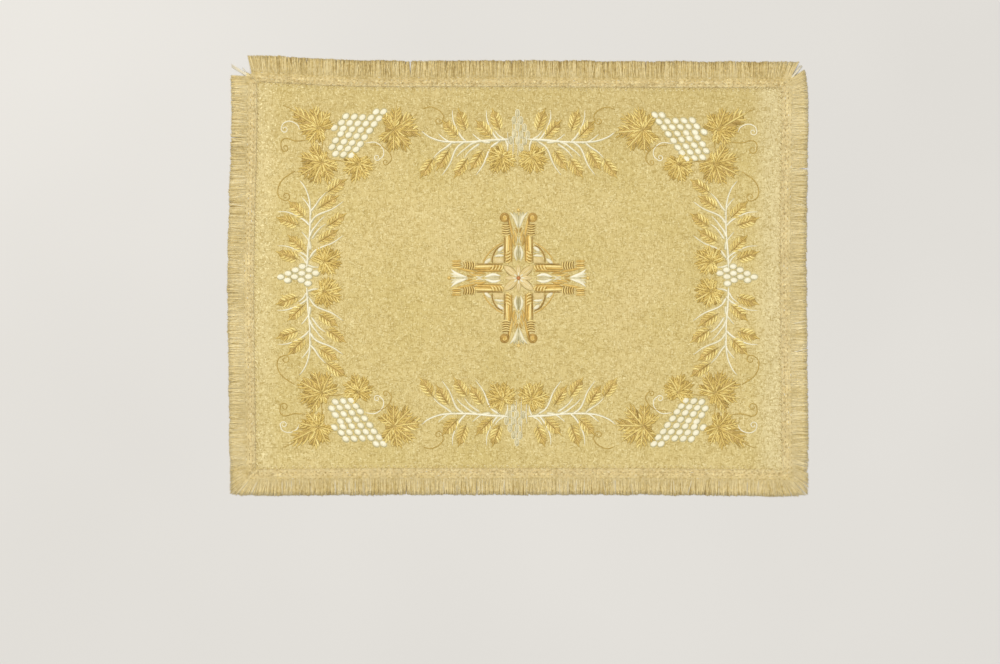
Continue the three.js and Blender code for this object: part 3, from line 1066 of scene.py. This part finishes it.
def wheat_ear(work, place, at, direction):
    """An ear of wheat: pairs of slanting grains with painted shade in the gaps, a last one at the tip, and
    its stalk.
    """

    def there(points, steps):
        return place(turned(curve(points, steps), direction, at))

    pitch = EAR_LENGTH * 0.66 / EAR_PAIRS
    ground = np.array(EAR_SIDE + [(along, -out) for along, out in EAR_SIDE[-2:0:-1]])
    outline = place(turned(ground * EAR_LENGTH * 0.92, direction, at))
    # A dark patch under the grains: painted shade in the gaps.
    work.patch(work.ears, outline, place([at])[0], SHADE_PATCH_HEIGHT, EAR_SHADE_TONE)
    for i in range(EAR_PAIRS):
        foot = -EAR_LENGTH / 2 + i * pitch
        swell = 0.74 + 0.26 * math.sin(math.pi * (i + 0.8) / (EAR_PAIRS + 0.4))
        for way in (1, -1):
            reach = 1 + work.draw.normal(0, 0.07)
            grain = np.array(GRAIN) * swell * (reach, way * reach) + (foot + 0.5 * way, 0)
            tone = work.tone(0.8 + 0.1 * way, 0.12)
            work.stroke(work.ears, there(grain, 6), GRAIN_WIDTH, 1.0, tone, blunt=0.55)
    last = [(EAR_LENGTH * 0.16, 0), (EAR_LENGTH * 0.34, 0.3), (EAR_LENGTH * 0.54, 0)]
    work.stroke(work.ears, there(last, 6), 2.8, 0.95, work.tone(0.5), blunt=0.4)
    stalk = [(-EAR_LENGTH * 0.62, 0), (0, 0.2), (EAR_LENGTH * 0.24, 0)]
    work.stroke(work.ears, there(stalk, 7), 0.9, 0.8, 0.2, blunt=0.7, lift=0.1)


GRAPE_LENGTH, GRAPE_WIDTH, GRAPE_HEIGHT = 10.4, 7.6, 1.15
# A rim darker than its grape is painted shade, for the shadow between the grapes.
GRAPE_RIM, RIM_HEIGHT = 2.4, 0.22
SHADED_GRAPE_WIDTH = 4.8


def grape(work, place, at, angle, width=GRAPE_WIDTH, tone=0.6, crown_highlight_tone=0.93, rim_tone=0.2):
    """A grape: a padded oval of white thread with a painted highlight on its crown, inside a rim of another
    tone.
    """
    middle = place([at])[0]
    ahead = place(turned([(1, 0)], angle, at))[0] - middle
    aim = math.degrees(math.atan2(ahead[1], ahead[0]))
    rim = (GRAPE_LENGTH + GRAPE_RIM, width + GRAPE_RIM, RIM_HEIGHT)
    work.oval(work.white, middle, aim, *rim, rim_tone)
    size = (GRAPE_LENGTH, width, GRAPE_HEIGHT)
    work.oval(work.white, middle, aim, *size, work.tone(tone, 0.04), lift=0.1, crown_highlight_tone=crown_highlight_tone)


# The corner motif, in one quadrant: x outwards and y upwards from the middle of the cloth.
CORNER_GRAPE_ROWS = table(
    "height outer inner drop count",
    (229, 197, 187, 0, 2),
    (222, 239, 193, 2, 5),
    (213.5, 245, 200, 1.5, 5),
    (206, 255, 206, 3, 5),
    (198, 246, 213, 4, 4),
    (189, 253, 219, 4.5, 4),
    (180, 258, 225, 3, 4),
    (171, 253, 231, 2, 3),
)
CORNER_GRAPE_TILT = 145
# How far the bunch is moved: the upper right one hangs a little lower than the others.
USUAL_BUNCH, LOW_BUNCH = (0, 0), (1.4, -3.8)
CORNER_LEAVES = table(
    "at direction reach shares",
    ((276, 205.5), 30, 34, {0: 1.42, 42: 0.98}),
    ((271.5, 159), -28, 40, {132: 0.42}),
    ((172.5, 205), 186, 42, {}),
    ((221, 158), -80, 29, {}),
)
CORNER_STEMS = [
    [(296, 217), (305, 222), (315, 229), (327, 234)],
    [(271, 159), (258, 162), (244, 161), (224, 157)],
    [(276, 205), (271, 192), (272, 176), (271, 160)],
]
CORNER_TENDRILS = table(
    "thread radius way path",
    ("white", 5, -1, [(303, 202), (307, 209), (317, 213), (326, 210), (329, 204)]),
    ("gold", 5.5, -1, [(295, 188), (309, 187), (322, 190), (329, 186), (329, 177)]),
    ("gold", 6, -1, [(309, 147), (325, 136), (332, 124), (331, 112), (324, 107)]),
    ("white", 4.4, 1, [(212, 186), (198, 187), (188, 179), (187, 169), (193, 163)]),
    ("gold", 4, 1, [(206, 184), (188, 181), (178, 172), (176, 163), (181, 157)]),
    ("gold", 5, 1, [(133, 233), (122, 236), (110, 231), (104, 223), (106, 215)]),
)
TENDRIL_TURNS = 1.15


def corner_motif(work, place, bunch_at):
    for leaf in CORNER_LEAVES:
        vine_leaf(work, place, **leaf)
    for stem in CORNER_STEMS:
        work.stem(work.gold, place(curve(stem, 14)), 1.9, 0.6, 0.25, tip=0.5)
    for tendril in CORNER_TENDRILS:
        white = tendril["thread"] == "white"
        path = place(curled(tendril["path"], tendril["radius"], TENDRIL_TURNS, tendril["way"]))
        work.stem(work.white if white else work.gold, path, 1.7, 0.6, 0.85 if white else 0.3, tip=0.75)
    for row in CORNER_GRAPE_ROWS:
        for i in range(row["count"]):
            share = i / (row["count"] - 1)
            x = row["outer"] + (row["inner"] - row["outer"]) * share + bunch_at[0]
            y = row["height"] - row["drop"] * share + bunch_at[1]
            grape(work, place, (x, y), CORNER_GRAPE_TILT)


# Half of a spray of wheat, in its own coordinates: along the edge from its middle, and out towards the edge.
SPRAY_REPEAT = 47
SPRAY_MAIN_STEM = [(13, 1.4), (40, 0), (62, -2), (87, -2.5), (107, -1), (124, 5), (134, 12.5)]
SPRAY_REPEATED_STEMS = [
    [(72, -2), (79, 4.5), (86.5, 17), (91, 30), (91.6, 42)],
    [(74, -2), (83, -7.6), (88.5, -15.5), (95.5, -33), (106, -48)],
    [(86, -3), (96, -2), (104, 3), (111, 9)],
]
SPRAY_SINGLE_STEMS = [
    [(56, -2), (65, -5), (73, -11), (80, -16.3), (86, -23)],
    [(54, -5), (62, -10), (69.6, -16.5), (75, -24)],
    [(92, -3), (100, -9.5), (109.3, -15.5), (118, -24)],
]
SPRAY_INNER_STEMS = [
    [(18, 0), (15.4, -7), (15.2, -15)],
    [(20, 2), (27, 6), (33, 13)],
]
SPRAY_EARS = table(
    "along out direction",
    (95.5, 16.5, 45),
    (78.5, 29, 70),
    (127.5, -39.6, -56),
    (105.5, -28.6, -58),
)
SPRAY_LEAF = dict(direction=-62, reach=29)
SPRAY_LEAF_OUT = -22.4
FAR_LEAF_ALONG, NEAR_LEAF_ALONG = 22.4, 18.0
STEM = dict(width=2.6, height=0.7, tip=0.3)
STEM_SHADE = dict(wider=1.5, aside=0.7, height=0.2, tone=0.28)
SPRAY_GRAPES = table("first count", (0, 4), (0, 4), (0, 3), (2, 1))
GRAPES_START, GRAPES_NEXT, GRAPES_NEXT_ROW = (16, 7.4), (-4.8, 9.8), (-4.6, -9.1)
SHADED_BUNCH_STREAKS = table(
    "along low high", (-12, -18, 12), (-5, -28, 26), (2, -22, 36), (8.4, -16, 22), (13.6, -6, 8),
)


def white_stem(work, place, path, tone, steps, width, height, tip):
    """A stem of white thread with a low, dark line of it beside and beneath: painted shade along the stem."""
    shade = place(curve(np.array(path, float) - (0, STEM_SHADE["aside"]), steps))
    wider = width + STEM_SHADE["wider"]
    work.stem(work.white, shade, wider, STEM_SHADE["height"], STEM_SHADE["tone"], tip)
    work.stem(work.white, place(curve(path, steps)), width, height, tone, tip)


def spray_half(work, place, leaf_along, stem_width):
    vine_leaf(work, place, (leaf_along, SPRAY_LEAF_OUT), **SPRAY_LEAF)
    for back in (0, SPRAY_REPEAT):
        for path in SPRAY_REPEATED_STEMS:
            white_stem(work, place, np.array(path, float) - (back, 0), work.tone(0.85, 0.05), 16, **STEM)
        for ear in SPRAY_EARS:
            wheat_ear(work, place, (ear["along"] - back, ear["out"]), ear["direction"])
    for path in SPRAY_SINGLE_STEMS + SPRAY_INNER_STEMS:
        white_stem(work, place, path, work.tone(0.82, 0.05), 12, **STEM)
    white_stem(work, place, SPRAY_MAIN_STEM, 0.95, 34, stem_width, height=0.9, tip=0.5)


def spray_streaks(work, place):
    """Bright upright lines between the grapes of the shaded bunch."""
    for streak in SHADED_BUNCH_STREAKS:
        along, low, high = streak.values()
        line = curve([(along, low), (along + 0.8, (low + high) / 2), (along - 0.4, high)], 12)
        work.stroke(work.white, place(line), 1.5, 1.15, work.tone(0.85, 0.08), blunt=0.6, lift=0.1)


def spray_grapes(work, place, **tones):
    start, step, row_step = (np.array(v, float) for v in (GRAPES_START, GRAPES_NEXT, GRAPES_NEXT_ROW))
    for number, row in enumerate(SPRAY_GRAPES):
        for i in range(row["count"]):
            at = start + (row["first"] + i) * step + number * row_step
            grape(work, place, at, 90, **tones)


# Lines of amber satin stitch along each half of an arm of the cross: their ends' distances from the middle
# and places across the arm, then width, height and tone.
BAR_LINES = table(
    "start end width height tone",
    ((20, 14), (60, 13.8), 9.8, 0.6, 0.5),
    # The bright line of tone 1.0 is a painted highlight along the bar.
    ((34, 16.4), (59, 15.6), 3.6, 1.3, 1.0),
    ((38, 12.4), (62, 11.4), 1.2, 1.2, 0.1),
    ((20.5, 19.4), (58, 19.4), 1.4, 0.8, 0.06),
    ((20.5, 9.2), (56, 8.8), 1.2, 0.8, 0.3),
)
RUNG_FEET = (20.5, 24.6, 28.9, 33.2)
COLLAR_FEET = (59.6, 62.8, 66, 69.2, 72.4)
KNOB = dict(away=83.5, across=19.4, size=14, rim=2)
STRIPE_TONES = (0.85, 0.42, 0.8, 0.5)
# White strokes of the arm's lily, leaves and inner petals, as points of distance and place across. The drop
# is how much darker each is than the lily's own tone.
LILY_STROKES = table(
    "width height drop points",
    (7.5, 0.5, 0.42, [(71, 0.6), (80, 3.0), (91, 6.6)]),
    (4.4, 0.95, 0.0, [(69, 0.8), (77, 3.4), (84, 6.2), (91, 12.2)]),
    (2.6, 0.95, 0.2, [(72, 1.0), (80, 3.0), (90, 6.4)]),
    (2.4, 0.95, 0.3, [(74, 0.5), (82, 1.6), (92, 2.4)]),
    (4.4, 0.95, 0.0, [(24, 2.6), (34, 5.0), (46, 1.4)]),
    (2.6, 0.95, 0.5, [(25, 0.7), (34, 1.4), (44, 0.6)]),
    (2.0, 0.95, 0.2, [(46, 3.2), (53, 1.0), (61, 4.6)]),
)
AMBER_LEAVES = table(
    "width tone points",
    (3.6, 0.4, [(44, 5.4), (52, 7.2), (61, 6.4)]),
    (3.2, 0.62, [(50, 4.0), (58, 3.2), (67, 6.6)]),
    (3.8, 0.5, [(57, 8.6), (66, 10), (76, 12.2), (83, 12.6)]),
    (2.6, 0.2, [(62, 1.6), (66, 2.2), (70, 4.2)]),
)


def knob(work, place, at, striped):
    """The end of a bar: a round knob with a scroll and a dark rim, or a short striped one."""
    middle = place([at])[0]
    away, across = at
    side = math.copysign(1, across)
    if striped:
        for i, tone in enumerate(STRIPE_TONES):
            level = across + side * (i * 3 - 5)
            line = place(curve([(away - 7, level), (away + 7, level)], 6))
            work.stroke(work.amber, line, 3.0, 1.2, work.tone(tone, 0.04), blunt=0.8)
        return
    inner = KNOB["size"] - 2 * KNOB["rim"]
    work.oval(work.amber, middle, 0, KNOB["size"], KNOB["size"], 0.8, 0.14)
    work.oval(work.amber, middle, 0, inner, inner, 1.1, 0.26, crown_highlight_tone=0.46)
    scroll = [(away - 10, across - side * 6), (away - 4, across - side * 4.8), (away, across - side * 4.4)]
    work.stem(work.amber, place(curled(scroll, 4.6, 0.9, side)), 1.5, 1.35, 0.1, tip=0.8)
    scroll = [(away - 3.4, across - side * 2.4), (away + 0.6, across - side * 2.2)]
    work.stem(work.amber, place(curled(scroll, 2.6, 0.7, side, 16)), 1.6, 1.5, 0.85, tip=0.8)


def cross_arm(work, place, reach, lily_tone, striped):
    """One arm of the cross: along it from the middle, and across it. Both its sides are alike."""
    stretch = reach / ARM_REACH_UP
    for way in (1, -1):
        def there(points, steps=7):
            return place(curve(np.array(points, float) * (stretch, way), steps))

        for line in BAR_LINES:
            path = there([line["start"], line["end"]], 12)
            tone = work.tone(line["tone"], 0.03)
            work.stroke(work.amber, path, line["width"], line["height"], tone, blunt=0.92)
        for foot in RUNG_FEET:
            bright = there([(foot + 4, 10.6), (foot + 1.2, 14.4), (foot + 0.4, 18.8)], 6)
            work.stroke(work.amber, bright, 2.5, 1.45, work.tone(0.95, 0.04), blunt=0.6)
            dark = there([(foot + 6, 10.8), (foot + 3.4, 14.6), (foot + 2.6, 18.4)], 6)
            work.stroke(work.amber, dark, 1.2, 1.3, 0.1, blunt=0.6)
        for foot in COLLAR_FEET:
            bright = there([(foot + 1, 10.8), (foot - 0.6, 17), (foot + 0.6, 24)], 6)
            work.stroke(work.amber, bright, 2.3, 1.4, work.tone(0.86, 0.08), blunt=0.65)
            dark = there([(foot + 2.6, 11.4), (foot + 1, 17), (foot + 2.2, 23)], 6)
            work.stroke(work.amber, dark, 1.2, 1.2, 0.12, blunt=0.6)
        for leaf in AMBER_LEAVES:
            work.stroke(work.amber, there(leaf["points"]), leaf["width"], 0.9, work.tone(leaf["tone"]))
        knob(work, place, (KNOB["away"] * stretch, KNOB["across"] * way), striped)
        for stroke in LILY_STROKES:
            tone = work.tone(lily_tone - stroke["drop"], 0.04)
            path = there(stroke["points"])
            work.stroke(work.white, path, stroke["width"], stroke["height"], tone, blunt=0.4)
    spine = place(curve([(72 * stretch, 0), (80, 0.2), (87, 0)], 7))
    work.stroke(work.white, spine, 2.2, 0.9, 0.2, blunt=0.4)
    work.oval(work.amber, place([(reach, 0)])[0], 0, 5, 5, 1.1, 0.3, crown_highlight_tone=0.8)


# Between two arms: arcs of the ring, then strokes of silver inside it. The wedges and the arc are given as
# points out from the middle of the cross.
OUTER_ARC = dict(radius=53.5, first=22, last=68, width=1.8, tone=0.5)
INNER_ARC = [(21, 46.2), (24.5, 44), (29.5, 40.9), (33.4, 35.4), (36.2, 28), (36.5, 20.5)]
SILVER_WEDGES = table(
    "width tone path",
    (5.4, 0.8, [(20.5, 42.5), (24, 41), (29, 36.8)]),
    (5.2, 0.76, [(38.6, 27), (42, 24), (47, 20.2)]),
    (3.6, 0.82, [(20.5, 31), (27, 31.2), (33.6, 30)]),
    (2.2, 0.3, [(20.5, 35.2), (26, 35.2), (31, 34)]),
)
SILVER_BLOCK = [(20.5, 20.6), (34.8, 20.6), (34.6, 25), (33.4, 28.4), (20.5, 28.6)]


def petal(work, place, angle, length, width, tone):
    """A broad petal of the flower in the cross's middle, with fine pale lines along it and a white foot."""

    def there(points, steps):
        return place(turned(curve(points, steps), angle))

    body = there([(2, 0), (length * 0.6, 0.2), (length, 0)], 9)
    work.stroke(work.petals, body, width + 1.2, 0.4, 0.26)
    work.stroke(work.petals, body, width, 0.6, work.tone(tone, 0.05), lift=0.12)
    for way in (1, -1):
        aside = way * width
        line = [(length * 0.25, way * 0.8), (length * 0.6, aside * 0.2), (length * 0.86, aside * 0.16)]
        work.stroke(work.petals, there(line, 6), 1.3, 1.0, 0.95, lift=0.25)
    work.stroke(work.white, there([(2.5, 0), (5, 0.1), (8.5, 0)], 5), 3.0, 1.1, 0.75, blunt=0.4, lift=0.2)


def cross_ring(work, place):
    """Between two arms: the ring's arcs with silver inside them, and a petal."""
    around = np.radians(np.linspace(OUTER_ARC["first"], OUTER_ARC["last"], 12))
    arc = place(np.column_stack([np.cos(around), np.sin(around)]) * OUTER_ARC["radius"])
    work.stroke(work.amber, arc, OUTER_ARC["width"], 0.8, OUTER_ARC["tone"], blunt=0.85)
    middle = np.mean(SILVER_BLOCK, 0)
    work.patch(work.petals, place(SILVER_BLOCK), place([middle])[0], 0.3, 0.52)
    for wedge in SILVER_WEDGES:
        work.stroke(work.white, place(curve(wedge["path"], 6)), wedge["width"], 0.9, wedge["tone"], blunt=0.6)
    work.stroke(work.amber, place(curve(INNER_ARC, 14)), 2.0, 1.0, 0.04, blunt=0.85)
    petal(work, place, 40, 26, 10.6, 0.5)


TOP_SPRAY_FROM_MIDDLE = 190
SIDE_SPRAY_FROM_MIDDLE = 290
TOP_STEM_WIDTH = 3.0
SIDE_STEM_WIDTH = 2.4
# How far aside the shaded bunch of a long side stands, for the upper side (1) and the lower one (-1).
SHADED_BUNCH_ASIDE = {1: -3.2, -1: -0.8}
# The long sides' bunch is the same white thread in lower tones: painted shade, as its satin runs the other
# way and catches less light.
SHADED_BUNCH = dict(width=SHADED_GRAPE_WIDTH, tone=0.2, crown_highlight_tone=0.42, rim_tone=0.66)
ARM_REACH_ACROSS = 96
ARM_REACH_UP = 93.5
HEART_SIZE, HEART_HEIGHT = 5.6, 1.7


def embroidery_pieces():
    work = Embroidery(seed=21)
    for right in (1, -1):
        for up in (1, -1):
            bunch_at = LOW_BUNCH if (right, up) == (1, 1) else USUAL_BUNCH
            corner_motif(work, Placing((0, 0), (right, 0), (0, up)), bunch_at)
            cross_ring(work, Placing((0, 0), (right, 0), (0, up)))
            top_place = Placing((0, up * TOP_SPRAY_FROM_MIDDLE), (right, 0), (0, up))
            side_place = Placing((right * SIDE_SPRAY_FROM_MIDDLE, 0), (0, up), (right, 0))
            spray_half(work, top_place, NEAR_LEAF_ALONG if right > 0 else FAR_LEAF_ALONG, TOP_STEM_WIDTH)
            spray_half(work, side_place, FAR_LEAF_ALONG if up > 0 else NEAR_LEAF_ALONG, SIDE_STEM_WIDTH)
    for way in (1, -1):
        top_place = Placing((SHADED_BUNCH_ASIDE[way], way * TOP_SPRAY_FROM_MIDDLE), (way, 0), (0, way))
        spray_grapes(work, top_place, **SHADED_BUNCH)
        spray_streaks(work, top_place)
        spray_grapes(work, Placing((way * SIDE_SPRAY_FROM_MIDDLE, 0), (0, 1), (way, 0)))
        for angle in (0, 90):
            petal(work, Placing((0, 0), (way, 0), (0, way)), angle, 19, 6.4, 0.45)
        # The vertical arms' lily has a lower tone than the horizontal ones': painted shade, as the same white
        # satin runs the other way and catches less light.
        cross_arm(work, Placing((0, 0), (way, 0), (0, 1)), ARM_REACH_ACROSS, lily_tone=0.97, striped=True)
        cross_arm(work, Placing((0, 0), (0, way), (1, 0)), ARM_REACH_UP, lily_tone=0.68, striped=False)
    work.oval(work.heart, (0, 0), 0, HEART_SIZE, HEART_SIZE, HEART_HEIGHT, 0.4, crown_highlight_tone=0.7)
    made = []
    for name, shapes, material, slot in (
        ("gold_leaves", work.gold, GOLD, "gold_thread"),
        ("gold_ears", work.ears, GOLD, "gold_thread"),
        ("white_embroidery", work.white, WHITE, "white_thread"),
        ("amber_cross", work.amber, AMBER, "gold_thread"),
        ("cross_petals", work.petals, PETAL, "white_thread"),
        ("cross_heart", work.heart, HEART, "gold_thread"),
    ):
        piece = shapes.build(name, material)
        made.append(piece)
    return made


# The floor, in metres.
FLOOR_HALF = 6.0
FLOOR_BELOW = 0.00005


def stage():
    """A plain pale floor."""
    mesh = bpy.data.meshes.new("floor")
    corners = [(-1, -1), (1, -1), (1, 1), (-1, 1)]
    mesh.from_pydata([(FLOOR_HALF * x, FLOOR_HALF * y, -FLOOR_BELOW) for x, y in corners], [], [(0, 1, 2, 3)])
    look = Look("floor_paint")
    cloudy = look.noise(look.node("TexCoord").outputs["Object"], 0.8, 3.0)
    paint = look.ramp(cloudy, (0.3, rgb(212, 210, 206)), (0.7, rgb(218, 216, 212)))
    look.surface(Base_Color=paint, Roughness=0.8)
    mesh.materials.append(look.material)
    floor = add_object("floor", mesh)


def area_light(name, place, size, power, colour=(1, 1, 1)):
    data = bpy.data.lights.new(name, "AREA")
    data.shape = "DISK"
    data.size = size
    data.energy = power
    data.color = colour
    light = add_object(name, data)
    light.location = place
    aim = -np.array(place, float)
    tilt = math.acos(-aim[2] / np.linalg.norm(aim))
    light.rotation_euler = (tilt, 0, math.atan2(aim[1], aim[0]) - math.pi / 2)


def lights():
    area_light("key", (-3.2, 3.0, 5.0), 1.6, 285, (1, 0.98, 0.95))
    area_light("fill", (3.4, -2.4, 5.0), 3.6, 160)
    world = bpy.data.worlds.new("studio")
    world.use_nodes = True
    background = world.node_tree.nodes["Background"].inputs
    background["Color"].default_value = (1, 0.99, 0.97, 1)
    background["Strength"].default_value = 0.37
    bpy.context.scene.world = world


def camera():
    """Straight above the cloth, with the photograph's frame."""
    data = bpy.data.cameras.new("camera")
    data.lens = 85
    data.sensor_width = 36
    eye = add_object("camera", data)
    pixel = MM_PER_PIXEL * MM
    aside = (FRAME_MIDDLE[0] - CLOTH_MIDDLE[0]) * pixel
    up = (CLOTH_MIDDLE[1] - FRAME_MIDDLE[1]) * pixel
    eye.location = (aside, up, FRAME_PIXELS * pixel * data.lens / data.sensor_width)
    bpy.context.scene.camera = eye


camera()
lights()
stage()
panel = panel_piece()
fringe = fringe_pieces()
stitched = embroidery_pieces()
bpy.context.scene.view_settings.view_transform = "Standard"
